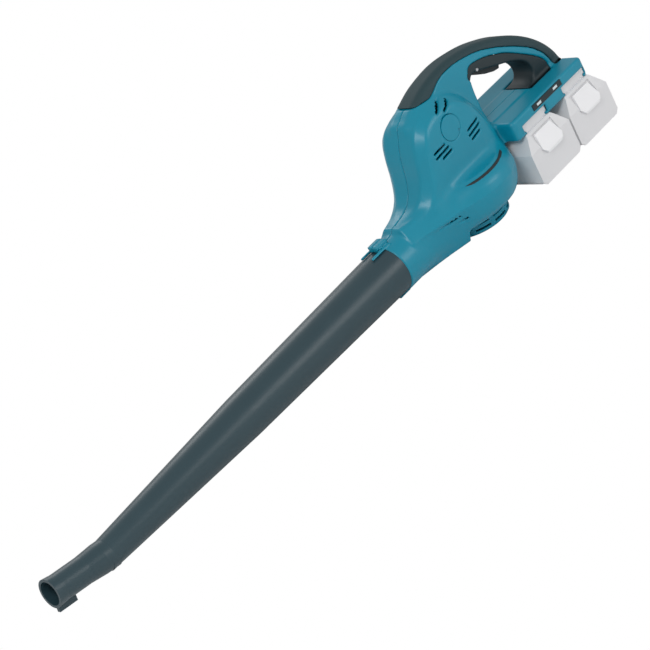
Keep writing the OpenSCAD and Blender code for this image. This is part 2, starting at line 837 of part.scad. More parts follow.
module nozzle_outside() {
  turned_x([[junction_x, 0], [junction_x, nozzle_rear_r], [junction_x - nozzle_rear_len, nozzle_mid_r],
            [bend_x, nozzle_bend_r], [bend_x - bend_lap, nozzle_bend_r], [bend_x - bend_lap, 0]]);
  at_tip() rotate_extrude() polygon([
    [0, -bend_lap], [nozzle_bend_r, -bend_lap], [nozzle_bend_r, 10], [neck_r, tip_taper_len],
    [neck_r, tip_len - 12], [mouth_r + flare, tip_len], [0, tip_len]
  ]);
}

module nozzle_inside() {
  socket_x = junction_x - spigot_len - play;
  turned_x([[junction_x + cut, 0], [junction_x + cut, spigot_r + play], [socket_x, spigot_r + play],
            [socket_x - 4, spigot_r - 0.6], [junction_x - nozzle_rear_len, nozzle_mid_r - nozzle_wall],
            [bend_x, bend_bore_r], [bend_x - bend_lap, bend_bore_r], [bend_x - bend_lap, 0]]);
  at_tip() rotate_extrude() polygon([
    [0, -bend_lap], [bend_bore_r, -bend_lap], [bend_bore_r, 10], [mouth_r, tip_taper_len], [mouth_r, tip_len + cut],
    [0, tip_len + cut]
  ]);
}

module long_nozzle() {
  color("#324a52") {
    difference() {
      nozzle_outside();
      nozzle_inside();
    }
    at_tip() translate([-mouth_r - 8.5, -2.2, tip_len - 25]) cube([7.6, 4.4, 23]);
    for (e = ears) turned_x([[junction_x - 6, nozzle_rear_r - 1.5], [junction_x - 6, nozzle_rear_r + e[1]],
                             [junction_x - 1, nozzle_rear_r + e[1]], [junction_x - 1, nozzle_rear_r - 1.5]],
                            angle = 2 * lug_half_a, start = e[0] - lug_half_a);
  }
}

// ---------------------------------------------------------------- battery packs

pack_chamfer = 5;
shoulder = 13.6;
pack_floor = 3.4;
pack_wall = 2.4;
cell_r = 9.05;
cell_len = 65;
cell_pitch = 18.4;
cell_z = [pack_floor + 0.25 + cell_r, pack_floor + 0.55 + 3 * cell_r];
head_y = [-46, 40];
pack_screw_at = [pack_w / 2 - 6.5, pack_len / 2 - 5];

module lower_section(d) {
  w = pack_w / 2 - d;
  c = pack_chamfer - d * 1.1;
  z0 = d == 0 ? 0 : pack_floor;
  polygon([[-w + c, z0], [w - c, z0], [w, z0 + c], [w, pack_seam_z + d], [-w, pack_seam_z + d], [-w, z0 + c]]);
}

// Upper case seen along the pack, from the seam to the top of the rail head
module upper_section(d) {
  w = pack_w / 2 - d;
  top = platform_z0 - d;
  polygon([[w, pack_seam_z - d], [w - shoulder, top], [-w + shoulder, top], [-w, pack_seam_z - d]]);
}

module along_y(cx, y0, y1) {
  translate([cx, y1, 0]) rotate([90, 0, 0]) linear_extrude(y1 - y0) children();
}

module button_pocket(cx) {
  translate([cx, 0, 0]) rotate([0, 0, 0]) translate([-19 - play, 0, 0]) rotate([90, 0, 90]) linear_extrude(38 + 2 * play)
    polygon([[-90, 57.2], [back_line(57.2) + play, 57.2], [back_line(31) + play, 31], [-90, 31]]);
}

function back_line(z) = -pack_len / 2 + 8 - (56 - z) * slope;

module lower_case(cx) {
  color("#e4e4e6") difference() {
    along_y(cx, -pack_len / 2, pack_len / 2) lower_section(0);
    difference() {
      along_y(cx, -pack_len / 2 + pack_wall, pack_len / 2 - pack_wall) lower_section(pack_wall);
      for (x = [-1, 1], y = [-1, 1]) translate([cx + x * pack_screw_at[0], y * pack_screw_at[1], 0]) cylinder(r = 3.6, h = pack_seam_z);
      block(cx - 21.5, cx + 21.5, -pack_len / 2, -pack_len / 2 + 9.6, 29, pack_seam_z);
    }
    for (x = [-1, 1], y = [-1, 1]) translate([cx + x * pack_screw_at[0], y * pack_screw_at[1], -cut]) {
      cylinder(r = screw_r + fit, h = pack_seam_z + 2 * cut);
      cylinder(r = head_r + play, h = 4 + cut);
    }
    button_pocket(cx);
  }
}

module upper_case(cx) {
  y1 = pack_len / 2;
  color("#e2e1e2") difference() {
    union() {
      intersection() {
        along_y(cx, -y1, y1) upper_section(0);
        translate([cx - pack_w, 0, 0]) rotate([90, 0, 90]) linear_extrude(2 * pack_w) polygon([
          [-y1, pack_seam_z - cut], [-y1, pack_seam_z], [-y1 + 6.5, 57], [-y1 + 9, platform_z0], [y1 - 4, platform_z0],
          [y1, 50], [y1, pack_seam_z - cut]
        ]);
      }
      block(cx - neck_half_w, cx + neck_half_w, head_y[0], head_y[1], platform_z0 - 1, platform_z0 + head_h);
      block(cx - rail_half_w, cx + rail_half_w, head_y[0], head_y[1], platform_z0 + rail_neck, platform_z0 + head_h);
    }
    translate([0, 0, -0.01]) difference() {
      along_y(cx, -y1 + pack_wall + 10, y1 - pack_wall - 3) upper_section(pack_wall);
      for (x = [-1, 1], y = [-1, 1]) translate([cx + x * pack_screw_at[0], y * pack_screw_at[1], 0]) cylinder(r = 3.6, h = platform_z0);
    }
    block(cx - neck_half_w + 3, cx + neck_half_w - 3, head_y[0] + 3, 8, platform_z0 - 6, platform_z0 + head_h - wall);
    for (x = [-blade_x, blade_x]) block(cx + x - 1.5, cx + x + 1.5, 12, head_y[1] + cut, platform_z0 + rail_neck, platform_z0 + head_h + cut);
    for (x = [-1, 1], y = [-1, 1]) translate([cx + x * pack_screw_at[0], y * pack_screw_at[1], pack_seam_z - cut])
      cylinder(r = screw_r + fit, h = 7 + cut);
    button_pocket(cx);
  }
}

module cells(cx) {
  color("#3f7f8c") for (z = cell_z, i = [-2 : 2]) translate([cx - cell_len / 2, i * cell_pitch, z]) rotate([0, 90, 0])
    cylinder(r = cell_r, h = cell_len, $fn = 48);
}

module pack_screws(cx) {
  color("silver") for (x = [-1, 1], y = [-1, 1]) translate([cx + x * pack_screw_at[0], y * pack_screw_at[1], 4 - head_t])
    rotate([180, 0, 0]) screw(pack_seam_z + 6 - 4 + head_t);
}

module pack_button(cx) {
  top = 55;
  low = 30;
  color("#fefdff") intersection() {
    along_y(cx, -90, -40) polygon([[-15, top], [15, top], [19, 38], [12.5, low], [-12.5, low], [-19, 38]]);
    translate([cx - 30, 0, 0]) rotate([90, 0, 90]) linear_extrude(60) polygon([
      [back_line(top), top], [back_line(top) - 2.6, top], [back_line(33) - 4.4, 33], [back_line(low) - 2.6, low],
      [back_line(low), low]
    ]);
  }
}

module front_pack_lower_case() { lower_case(pack_cx[0]); }
module front_pack_upper_case() { upper_case(pack_cx[0]); }
module front_pack_cells() { cells(pack_cx[0]); }
module front_pack_screws() { pack_screws(pack_cx[0]); }
module front_pack_button() { pack_button(pack_cx[0]); }
module rear_pack_lower_case() { lower_case(pack_cx[1]); }
module rear_pack_upper_case() { upper_case(pack_cx[1]); }
module rear_pack_cells() { cells(pack_cx[1]); }
module rear_pack_screws() { pack_screws(pack_cx[1]); }
module rear_pack_button() { pack_button(pack_cx[1]); }

// ---------------------------------------------------------------- output

housing_left();
housing_right();
top_grip();
inner_grip();
housing_screws();
intake_grille();
grille_screws();
inlet_bellmouth();
fan_deck();
motor_screws();
motor_can();
motor_magnets();
motor_end_bell();
brush_holders();
carbon_brushes();
brush_springs();
brush_holder_caps();
brush_cover_left();
brush_cover_right();
lower_bearing();
upper_bearing();
switch_unit();
trigger_pin();
controller_board();
indicator_panel();
indicator_leds();
front_terminal_block();
rear_terminal_block();
terminal_blades();
wiring();
motor_shaft();
armature_core();
armature_windings();
commutator();
impeller();
impeller_nut();
trigger();
long_nozzle();
front_pack_lower_case();
front_pack_upper_case();
front_pack_cells();
front_pack_screws();
front_pack_button();
rear_pack_lower_case();
rear_pack_upper_case();
rear_pack_cells();
rear_pack_screws();
rear_pack_button();
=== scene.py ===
# %% [markdown]
# # A cordless blower, dressed over its working frame
# The frame holds every piece of the machine at its real size and place. This lesson gives it its looks.
# Moulded shells have soft blended forms that are awkward to draw face by face, so the body is written as a
# distance field and meshed once for each moulding, split where the real ones meet. The other pieces keep the
# shape they have in the frame and take a finish.

# %% Load the frame
import bpy
import numpy as np
from mathutils import Matrix, Vector


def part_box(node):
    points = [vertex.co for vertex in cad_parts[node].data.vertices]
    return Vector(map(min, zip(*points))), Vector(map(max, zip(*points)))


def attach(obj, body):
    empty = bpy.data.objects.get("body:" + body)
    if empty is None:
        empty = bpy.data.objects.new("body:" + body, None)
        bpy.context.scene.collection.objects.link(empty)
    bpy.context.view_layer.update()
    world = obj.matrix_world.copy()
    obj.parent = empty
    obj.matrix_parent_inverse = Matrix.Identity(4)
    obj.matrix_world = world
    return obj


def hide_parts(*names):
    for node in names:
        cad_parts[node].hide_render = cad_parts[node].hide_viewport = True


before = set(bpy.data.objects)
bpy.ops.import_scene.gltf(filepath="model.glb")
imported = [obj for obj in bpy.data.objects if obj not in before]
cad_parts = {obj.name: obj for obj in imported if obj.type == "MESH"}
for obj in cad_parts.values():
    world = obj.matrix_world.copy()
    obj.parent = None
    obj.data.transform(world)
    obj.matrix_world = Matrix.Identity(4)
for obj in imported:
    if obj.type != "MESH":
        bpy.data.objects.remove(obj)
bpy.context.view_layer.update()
MM = 0.001
scene = bpy.context.scene

# %% [markdown]
# ## Camera and light
# The camera stands in front of the nozzle, on the operator's left and above, and is rolled so that the long
# nozzle crosses the view from corner to corner. A long lens keeps the body from looking stretched.

# %% Camera
camera = bpy.data.objects.new("camera", bpy.data.cameras.new("camera"))
scene.collection.objects.link(camera)
RIGHT, UP, BACK = (.6053, -.6708, -.4290), (.6032, .0348, .7970), (-.5195, -.7412, .4258)
turn = Matrix([Vector(v).normalized() for v in (RIGHT, UP, BACK)]).transposed().to_4x4()
camera.matrix_world = Matrix.Translation((-1.524, -1.813, 1.083)) @ turn
camera.data.lens = 127.4
camera.data.sensor_width = 36
scene.camera = camera


def linear(code):
    """A hex colour such as "#02869f" as linear RGBA."""
    parts = [int(code[i:i + 2], 16) / 255 for i in (1, 3, 5)]
    return tuple(c / 12.92 if c <= 0.04045 else ((c + 0.055) / 1.055) ** 2.4 for c in parts) + (1,)


# %% Floor, world and lamps
def white_to_camera(material, colour):
    """Glows plain white to the camera, and is a pale matt surface to every other ray."""
    nodes, links = material.node_tree.nodes, material.node_tree.links
    out = nodes["Material Output"]
    matt = nodes["Principled BSDF"]
    matt.inputs["Base Color"].default_value = colour
    matt.inputs["Roughness"].default_value = 0.9
    glow = nodes.new("ShaderNodeEmission")
    glow.inputs["Strength"].default_value = 1.0
    mix = nodes.new("ShaderNodeMixShader")
    path = nodes.new("ShaderNodeLightPath")
    links.new(path.outputs["Is Camera Ray"], mix.inputs[0])
    links.new(matt.outputs[0], mix.inputs[1])
    links.new(glow.outputs[0], mix.inputs[2])
    links.new(mix.outputs[0], out.inputs[0])


floor_mesh = bpy.data.meshes.new("floor")
FLOOR_HALF = 6
floor_mesh.from_pydata([(x * FLOOR_HALF, y * FLOOR_HALF, 0) for x, y in ((-1, -1), (1, -1), (1, 1), (-1, 1))],
                       [], [(0, 1, 2, 3)])
floor = bpy.data.objects.new("floor", floor_mesh)
scene.collection.objects.link(floor)
floor_paint = bpy.data.materials.new("pale_floor")
floor_paint.use_nodes = True
white_to_camera(floor_paint, linear("#f4f4f4"))
floor_mesh.materials.append(floor_paint)

world = bpy.data.worlds.new("studio")
scene.world = world
world.use_nodes = True
sky = world.node_tree.nodes["Background"]
sky.inputs["Color"].default_value = (1, 1, 1, 1)
WORLD_LIGHT = 0.5  # what the objects get; the camera sees 1.0, which is plain white
seen = world.node_tree.nodes.new("ShaderNodeLightPath")
level = world.node_tree.nodes.new("ShaderNodeMapRange")
level.inputs["To Min"].default_value = WORLD_LIGHT
world.node_tree.links.new(seen.outputs["Is Camera Ray"], level.inputs["Value"])
world.node_tree.links.new(level.outputs["Result"], sky.inputs["Strength"])
scene.view_settings.view_transform = "Standard"


def lamp(name, place, aim, size, watts):
    """An area lamp at place, pointing at aim."""
    data = bpy.data.lights.new(name, "AREA")
    data.size = size
    data.energy = watts
    obj = bpy.data.objects.new(name, data)
    obj.location = place
    obj.rotation_euler = (Vector(aim) - Vector(place)).to_track_quat("-Z", "Y").to_euler()
    scene.collection.objects.link(obj)


lamp("key", (-1.3, -0.9, 1.7), (-0.1, 0, 0.05), 0.7, 14)
lamp("side", (0.9, -1.8, 0.8), (0, 0, 0.08), 0.8, 7)
lamp("rim", (0.6, 1.6, 1.2), (0, 0, 0.1), 0.8, 5)

# %% [markdown]
# ## Finishes
# Every finish is a Principled shader with its grain worked out from object coordinates in metres, so the
# grain keeps its real size on each piece. Moulded nylon has a faint spark-eroded texture that breaks up its
# shine, the soft grip a coarser one with a matt face, and metals a slow variation in roughness.


# %% One function for every finish
MOTTLE_PER_METRE = 28.0
ROUGH_MOTTLE = 0.06


def finish(name, colour, rough, grain_mm, depth, mottle=0.04, metal=0.0):
    """A procedural finish: colour and roughness vary a little, and a fine bump gives the grain."""
    material = bpy.data.materials.new(name)
    material.use_nodes = True
    nodes, links = material.node_tree.nodes, material.node_tree.links
    shader = nodes["Principled BSDF"]
    shader.inputs["Metallic"].default_value = metal
    place = nodes.new("ShaderNodeTexCoord")
    broad = nodes.new("ShaderNodeTexNoise")
    broad.inputs["Scale"].default_value = MOTTLE_PER_METRE
    broad.inputs["Detail"].default_value = 3.0
    links.new(place.outputs["Object"], broad.inputs["Vector"])
    base = linear(colour)
    tint = nodes.new("ShaderNodeMix")
    tint.data_type = "RGBA"
    tint.inputs["A"].default_value = tuple(c * (1 - mottle) for c in base[:3]) + (1,)
    tint.inputs["B"].default_value = tuple(min(1, c * (1 + mottle)) for c in base[:3]) + (1,)
    links.new(broad.outputs["Fac"], tint.inputs["Factor"])
    links.new(tint.outputs["Result"], shader.inputs["Base Color"])
    worn = nodes.new("ShaderNodeMapRange")
    worn.inputs["To Min"].default_value = rough - ROUGH_MOTTLE
    worn.inputs["To Max"].default_value = rough + ROUGH_MOTTLE
    links.new(broad.outputs["Fac"], worn.inputs["Value"])
    links.new(worn.outputs["Result"], shader.inputs["Roughness"])
    grain = nodes.new("ShaderNodeTexNoise")
    grain.inputs["Scale"].default_value = 1 / (grain_mm * MM)
    grain.inputs["Detail"].default_value = 2.0
    links.new(place.outputs["Object"], grain.inputs["Vector"])
    bump = nodes.new("ShaderNodeBump")
    bump.inputs["Strength"].default_value = depth
    bump.inputs["Distance"].default_value = grain_mm * MM * 0.5
    links.new(grain.outputs["Fac"], bump.inputs["Height"])
    links.new(bump.outputs["Normal"], shader.inputs["Normal"])
    return material


teal_nylon = finish("teal_nylon", "#028ba5", 0.34, grain_mm=0.6, depth=0.06)
grip_rubber = finish("grip_rubber", "#1f3c42", 0.62, grain_mm=0.8, depth=0.22, mottle=0.08)
insert_nylon = finish("insert_nylon", "#17292e", 0.5, grain_mm=0.6, depth=0.1)
nozzle_plastic = finish("nozzle_polypropylene", "#2c434b", 0.36, grain_mm=0.7, depth=0.07, mottle=0.05)
pack_nylon = finish("pack_nylon", "#e4e4e6", 0.5, grain_mm=0.6, depth=0.1, mottle=0.015)
button_plastic = finish("button_plastic", "#f6f6f8", 0.36, grain_mm=0.6, depth=0.04, mottle=0.01)
dark_moulding = finish("dark_moulding", "#20282b", 0.55, grain_mm=0.5, depth=0.12)
plated_steel = finish("plated_steel", "#b9bdc1", 0.3, grain_mm=0.3, depth=0.05, metal=1.0)
brushed_can = finish("motor_can_steel", "#8d949a", 0.38, grain_mm=0.25, depth=0.08, metal=1.0)
brass_strip = finish("brass_strip", "#b9954a", 0.32, grain_mm=0.3, depth=0.05, metal=1.0)
copper_wire = finish("lacquered_copper", "#b5651d", 0.35, grain_mm=0.5, depth=0.3, metal=1.0)
carbon_block = finish("pressed_carbon", "#2b2b2b", 0.7, grain_mm=0.3, depth=0.2)
board_green = finish("circuit_board", "#1f6b3a", 0.4, grain_mm=1.5, depth=0.1, mottle=0.15)
lens_plastic = finish("pale_lens", "#d8e4e6", 0.15, grain_mm=0.5, depth=0.02)
red_cable = finish("cable_sheath", "#a02a2a", 0.45, grain_mm=0.5, depth=0.05)
cell_sleeve = finish("cell_sleeve", "#3f7f8c", 0.35, grain_mm=0.5, depth=0.04)
print("finishes", len(bpy.data.materials))

# %% [markdown]
# ## Dressing the pieces that keep their frame shape
# Screws, bearings and the motor are already right in the frame, so they only take a finish.

# %% Finishes for the carried-over nodes
FINISH_OF = {
    plated_steel: ["housing_screws", "grille_screws", "motor_screws", "brush_springs", "lower_bearing",
                   "upper_bearing", "trigger_pin", "motor_shaft", "impeller_nut",
                   "front_pack_screws", "rear_pack_screws"],
    brushed_can: ["motor_can", "armature_core"],
    brass_strip: ["brush_holders", "terminal_blades"],
    copper_wire: ["armature_windings", "commutator"],
    carbon_block: ["carbon_brushes", "motor_magnets"],
    board_green: ["controller_board"],
    lens_plastic: ["indicator_leds"],
    red_cable: ["wiring"],
    cell_sleeve: ["front_pack_cells", "rear_pack_cells"],
    insert_nylon: ["indicator_panel"],
    dark_moulding: ["inlet_bellmouth", "fan_deck", "motor_end_bell", "brush_holder_caps", "switch_unit",
                    "front_terminal_block", "rear_terminal_block", "impeller"],
    teal_nylon: ["brush_cover_left", "brush_cover_right"],
}


def dress(obj, material):
    """Gives the whole object one finish."""
    obj.data.materials.clear()
    obj.data.materials.append(material)


for material, names in FINISH_OF.items():
    for name in names:
        dress(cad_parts[name], material)


# %% [markdown]
# ## Side outlines
# The body reads best from the side, so its outlines are short lists of points in millimetres, joined by a
# smooth curve. Each outline becomes a table of distances that the body's field looks up quickly.


# %% Outlines as distance tables
def smooth_loop(points, steps=6):
    """A closed Catmull-Rom curve through the points. A point given twice stays a corner."""
    p = np.array(points, float)
    out = []
    for i in range(len(p)):
        a, b, c, d = p[i - 1], p[i], p[(i + 1) % len(p)], p[(i + 2) % len(p)]
        if np.allclose(b, c):
            continue
        a = b if np.allclose(a, b) else a
        d = c if np.allclose(c, d) else d
        for t in np.linspace(0, 1, steps, endpoint=False):
            out.append(0.5 * (2 * b + (c - a) * t + (2 * a - 5 * b + 4 * c - d) * t ** 2
                              + (3 * b - a - 3 * c + d) * t ** 3))
    return np.array(out)


def polygon_distance(p, loop):
    """Signed distance of points p to a closed loop, negative inside."""
    best = np.full(len(p), 1e9)
    inside = np.zeros(len(p), bool)
    for a, b in zip(loop, np.roll(loop, -1, 0)):
        e = b - a
        t = np.clip(((p - a) @ e) / (e @ e), 0, 1)
        best = np.minimum(best, ((p - a - t[:, None] * e) ** 2).sum(1))
        crossing = (a[1] > p[:, 1]) != (b[1] > p[:, 1])
        if a[1] != b[1]:
            inside ^= crossing & (p[:, 0] < (b[0] - a[0]) * (p[:, 1] - a[1]) / (b[1] - a[1]) + a[0])
    return np.where(inside, -1, 1) * np.sqrt(best)


class Outline:
    """A loop's distance, tabled on a fine grid and read back by blending the four nearest entries."""

    def __init__(self, loop, step=1.0, pad=26):
        loop = np.array(loop, float)
        self.low = loop.min(0) - pad
        self.step = step
        n = np.ceil((loop.max(0) + pad - self.low) / step).astype(int) + 1
        gx, gy = np.meshgrid(*(self.low[i] + step * np.arange(n[i]) for i in (0, 1)), indexing="ij")
        self.table = polygon_distance(np.stack([gx.ravel(), gy.ravel()], 1), loop).reshape(n)

    def __call__(self, x, y):
        u = np.clip((x - self.low[0]) / self.step, 0, self.table.shape[0] - 1.001)
        v = np.clip((y - self.low[1]) / self.step, 0, self.table.shape[1] - 1.001)
        i, j = u.astype(int), v.astype(int)
        u, v = u - i, v - j
        t = self.table
        near = t[i, j] * (1 - u) + t[i + 1, j] * u
        far = t[i, j + 1] * (1 - u) + t[i + 1, j + 1] * u
        return near * (1 - v) + far * v


BULK = smooth_loop([
    (-112, 50), (-104, 62), (-92, 68), (-82, 75), (-73, 85), (-66.5, 99), (-61.5, 118), (-55, 135), (-46, 147),
    (-33, 155), (-14, 159), (6, 158), (24, 151), (40, 136), (50, 118), (58, 98), (62, 84), (62, 84), (62, 50),
    (62, 50)])
LOOP = smooth_loop([
    (-46, 145), (-35, 158), (-18, 167), (3, 174), (28, 177.7), (48, 178.2), (69, 175.8), (93, 171), (115, 164),
    (139, 154), (161, 141), (179, 127), (194, 111), (204, 95), (208, 82), (208, 68), (205, 61), (205, 61),
    (40, 61), (40, 61), (-20, 100)])
OPENING = smooth_loop([
    (65.5, 92), (68, 86.2), (76, 84.8), (110, 84.8), (140, 84.8), (152, 87.5), (158, 94), (157, 104),
    (150, 113), (134, 122.5), (113, 131), (92, 139.5), (77, 145), (69, 142), (66, 134), (64.5, 112)])
LINER = smooth_loop([
    (66, 141), (67, 150), (76, 156), (99, 151.5), (117, 144), (135, 134.5), (166, 111.5), (180, 98), (184, 88),
    (180, 79.5), (160, 79), (138, 84), (120, 100), (90, 120)])
GRIP = smooth_loop([
    (-60, 200), (-46, 168), (-30, 164), (-16, 163), (1, 161.5), (12, 164), (24, 169), (38, 171), (61, 170),
    (92, 163), (116, 153), (138, 141), (158, 128), (172, 117), (184, 103), (190, 90), (193, 76), (200, 70),
    (225, 71), (240, 120), (240, 200)])
bulk_line, loop_line, opening_line = Outline(BULK), Outline(LOOP), Outline(OPENING)
liner_line, grip_line = Outline(LINER), Outline(GRIP)
print("outline points", sum(len(o) for o in (BULK, LOOP, OPENING, LINER, GRIP)))


# %% [markdown]
# ## The body as one field
# A field gives a distance for any point: negative inside, positive outside. Two forms join by a smooth
# minimum, which rolls a fillet between them as wide as its radius, and that is how the motor housing flows
# into the fan drum and the handle on the real moulding. All lengths here are in millimetres.


# %% Ways to join forms
def blend(a, b, r):
    """Union with a fillet of about r."""
    h = np.clip(0.5 + 0.5 * (b - a) / r, 0, 1)
    return b + (a - b) * h - r * h * (1 - h)


def rounded(a, b, r):
    """Intersection with its edge rounded to r."""
    return np.minimum(np.maximum(a, b) + r, 0) + np.hypot(np.maximum(a + r, 0), np.maximum(b + r, 0)) - r


OUTLET_Z = 33.0
DUCT_R = 30
CREST_Z = 50
MOTOR_CORNER = 15
HANDLE_HALF_W = 17
HANDLE_CORNER = 9
PACK_X0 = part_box("front_pack_lower_case")[0].x / MM
PLATFORM = (PACK_X0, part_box("housing_left")[1].x / MM - 5, 50.0, 60.0, 84.0)
BODY_BACK_X = PACK_X0 - 0.7
DRUM = Outline(smooth_loop([
    (-60, 18), (-60, 18), (50, 18), (50, 18), (60, 25), (65.5, 38), (67.3, 50), (67.3, 50), (64, 60),
    (56, 67.5), (40, 71), (-60, 71), (-60, 71)]))
FLARE = Outline([
    (-116, -26), (-96, -33), (-70, -43), (-42, -53), (-14, -60.5), (20, -60), (40, -30), (40, 30), (20, 60),
    (-14, 60.5), (-42, 53), (-70, 43), (-96, 33), (-116, 26)])


def drum(x, y, z):
    """The fan drum, turned about the fan axis and cut flat behind so that the packs clear it."""
    return np.maximum(DRUM(np.hypot(x, y), z), x - BODY_BACK_X)


def duct(x, y, z):
    """The outlet tube and the flank that widens back to the drum, with a crest along its side."""
    pipe = rounded(np.hypot(y, z - OUTLET_Z) - DUCT_R, np.maximum(-142.3 - x, x + 47), 1.2)
    lean = np.where(z < CREST_Z, 0.42 * (CREST_Z - z), 0.75 * (z - CREST_Z))
    floor = np.where(x > -47, 18.0, 3.5)
    flank = rounded(FLARE(x, np.abs(y) + lean), np.maximum(floor - z, z - 68), 3)
    return blend(pipe, flank, 7)


def motor_bulk(x, y, z):
    """The motor housing: its side outline, its width along x, and a bevel between side and edge."""
    width = np.interp(x, [-106, -90, -74, -60, -44, 30, 64], [12, 23, 30.5, 34, 36, 36, 32.5])
    width = width - 5.5 * np.clip((z - 128) / 30, 0, 1) ** 2 - 2.0 * np.clip((74 - z) / 20, 0, 1)
    side = np.abs(y) - width
    bevel = (bulk_line(x, z) + side * 0.9) * 0.74 + 7.2
    return np.maximum(rounded(bulk_line(x, z), side, MOTOR_CORNER), bevel)


def handle(x, y, z):
    """The loop handle, a little narrower at the top, round its hand opening."""
    width = HANDLE_HALF_W - 1.2 * np.clip((z - 150) / 26, 0, 1)
    ring = rounded(loop_line(x, z), np.abs(y) - width, HANDLE_CORNER)
    return rounded(ring, -opening_line(x, z), 3)


def platform(x, y, z):
    """The deck that the two packs hang from."""
    x0, x1, w, z0, z1 = PLATFORM
    plan = rounded(np.maximum(x0 + 0.2 - x, x - x1), np.abs(y) - w, 6)
    return rounded(plan, np.maximum(z0 + 0.1 - z, z - z1), 3.5)


def body(p):
    """The whole outside form at points p, flat behind and below where the packs sit."""
    x, y, z = p.T
    f = blend(drum(x, y, z), duct(x, y, z), 8)
    f = blend(f, motor_bulk(x, y, z), 12)
    f = np.maximum(f, x - BODY_BACK_X - 40 * np.clip(z - 60, 0, 1))
    loop = blend(handle(x, y, z), platform(x, y, z), 5)
    f = blend(f, loop, 8)
    f = np.maximum(f, np.where(x > PACK_X0 - 4, PLATFORM[3] + 0.1 - z, -9))
    return np.maximum(f, -opening_line(x, z) - 40 * np.clip(np.abs(y) - 30, 0, 1))


# %% [markdown]
# ## From field to mesh
# Surface nets put one vertex in each small cube that the surface crosses, at the mean of the crossings, and
# join neighbours with quads. A few steps along the field's slope then set each vertex on the surface, which
# takes away the stair steps of the grid. A wall has to be about two cubes thick, or it comes out in holes.


# %% Surface nets
def surface_net(field, low, high, step):
    """Vertices and quads of the field's zero surface inside the box."""
    low, high = np.array(low, float), np.array(high, float)
    n = np.ceil((high - low) / step).astype(int) + 1
    axes = [low[i] + step * np.arange(n[i]) for i in range(3)]
    f = np.empty(n)
    gy, gz = np.meshgrid(axes[1], axes[2], indexing="ij")
    for i, x in enumerate(axes[0]):
        f[i] = field(np.stack([np.full(gy.size, x), gy.ravel(), gz.ravel()], 1)).reshape(gy.shape)
    corners = [(i, j, k) for i in (0, 1) for j in (0, 1) for k in (0, 1)]
    at = {c: f[c[0]:n[0] - 1 + c[0], c[1]:n[1] - 1 + c[1], c[2]:n[2] - 1 + c[2]] for c in corners}
    count = sum((at[c] < 0).astype(int) for c in corners)
    mixed = (count > 0) & (count < 8)
    cells = np.argwhere(mixed)
    number = np.full(mixed.shape, -1)
    number[mixed] = np.arange(len(cells))
    total, hits = np.zeros((len(cells), 3)), np.zeros(len(cells))
    for a in corners:
        for axis in range(3):
            if a[axis]:
                continue
            b = tuple(1 if i == axis else a[i] for i in range(3))
            fa, fb = at[a][mixed], at[b][mixed]
            cross = (fa < 0) != (fb < 0)
            t = np.where(cross, fa / np.where(cross, fa - fb, 1), 0)
            point = np.array(a, float)[None] + t[:, None] * np.eye(3)[axis]
            total[cross] += point[cross]
            hits[cross] += 1
    verts = low + step * (cells + total / hits[:, None])
    quads = []
    for axis in range(3):
        u, v = (axis + 1) % 3, (axis + 2) % 3
        lo = [slice(0, n[i] - 1) if i == axis else slice(1, n[i] - 1) for i in range(3)]
        hi = [slice(1, n[i]) if i == axis else slice(1, n[i] - 1) for i in range(3)]
        fa, fb = f[tuple(lo)] < 0, f[tuple(hi)] < 0
        for where, flip in ((fa & ~fb, False), (~fa & fb, True)):
            e = np.argwhere(where)
            e[:, u] += 1
            e[:, v] += 1
            ring = []
            for du, dv in ((1, 1), (0, 1), (0, 0), (1, 0)):
                c = e.copy()
                c[:, u] -= du
                c[:, v] -= dv
                ring.append(number[c[:, 0], c[:, 1], c[:, 2]])
            q = np.stack(ring, 1)
            quads.append(q[:, ::-1] if flip else q)
    return verts, np.concatenate(quads)


def settle(field, verts, reach, rounds=3):
    """Moves each vertex along the field's slope onto the surface, never further than reach in one step."""
    h = 0.15
    for _ in range(rounds):
        value = field(verts)
        slope = np.stack([field(verts + h * e) - field(verts - h * e) for e in np.eye(3)], 1) / (2 * h)
        size = np.maximum((slope ** 2).sum(1), 0.3)
        verts = verts - slope * np.clip(value / size, -reach, reach)[:, None]
    return verts


def mesh_piece(name, verts_mm, faces, material):
    """A new object in metres from millimetre vertices."""
    data = bpy.data.meshes.new(name)
    data.from_pydata((np.asarray(verts_mm) * MM).tolist(), [], [list(map(int, f)) for f in faces])
    data.update()
    data.shade_smooth()
    data.materials.append(material)
    obj = bpy.data.objects.new(name, data)
    scene.collection.objects.link(obj)
    return obj


def field_piece(name, field, low, high, step, material):
    """Meshes a field inside the box from low to high and makes it an object."""
    verts, quads = surface_net(field, low, high, step)
    obj = mesh_piece(name, settle(field, verts, step * 0.5), quads, material)
    print(name, len(verts), "vertices")
    return obj


# %% [markdown]
# ## Shell halves, grip and insert
# The grip skin and the dark insert are the same body seen through their own outlines, so their faces follow
# the shell's and a fine groove shows where two mouldings meet. The right half is a mirror of the left, which
# keeps the rail openings, the panel recess and the finger on both sides; only the left should have them.

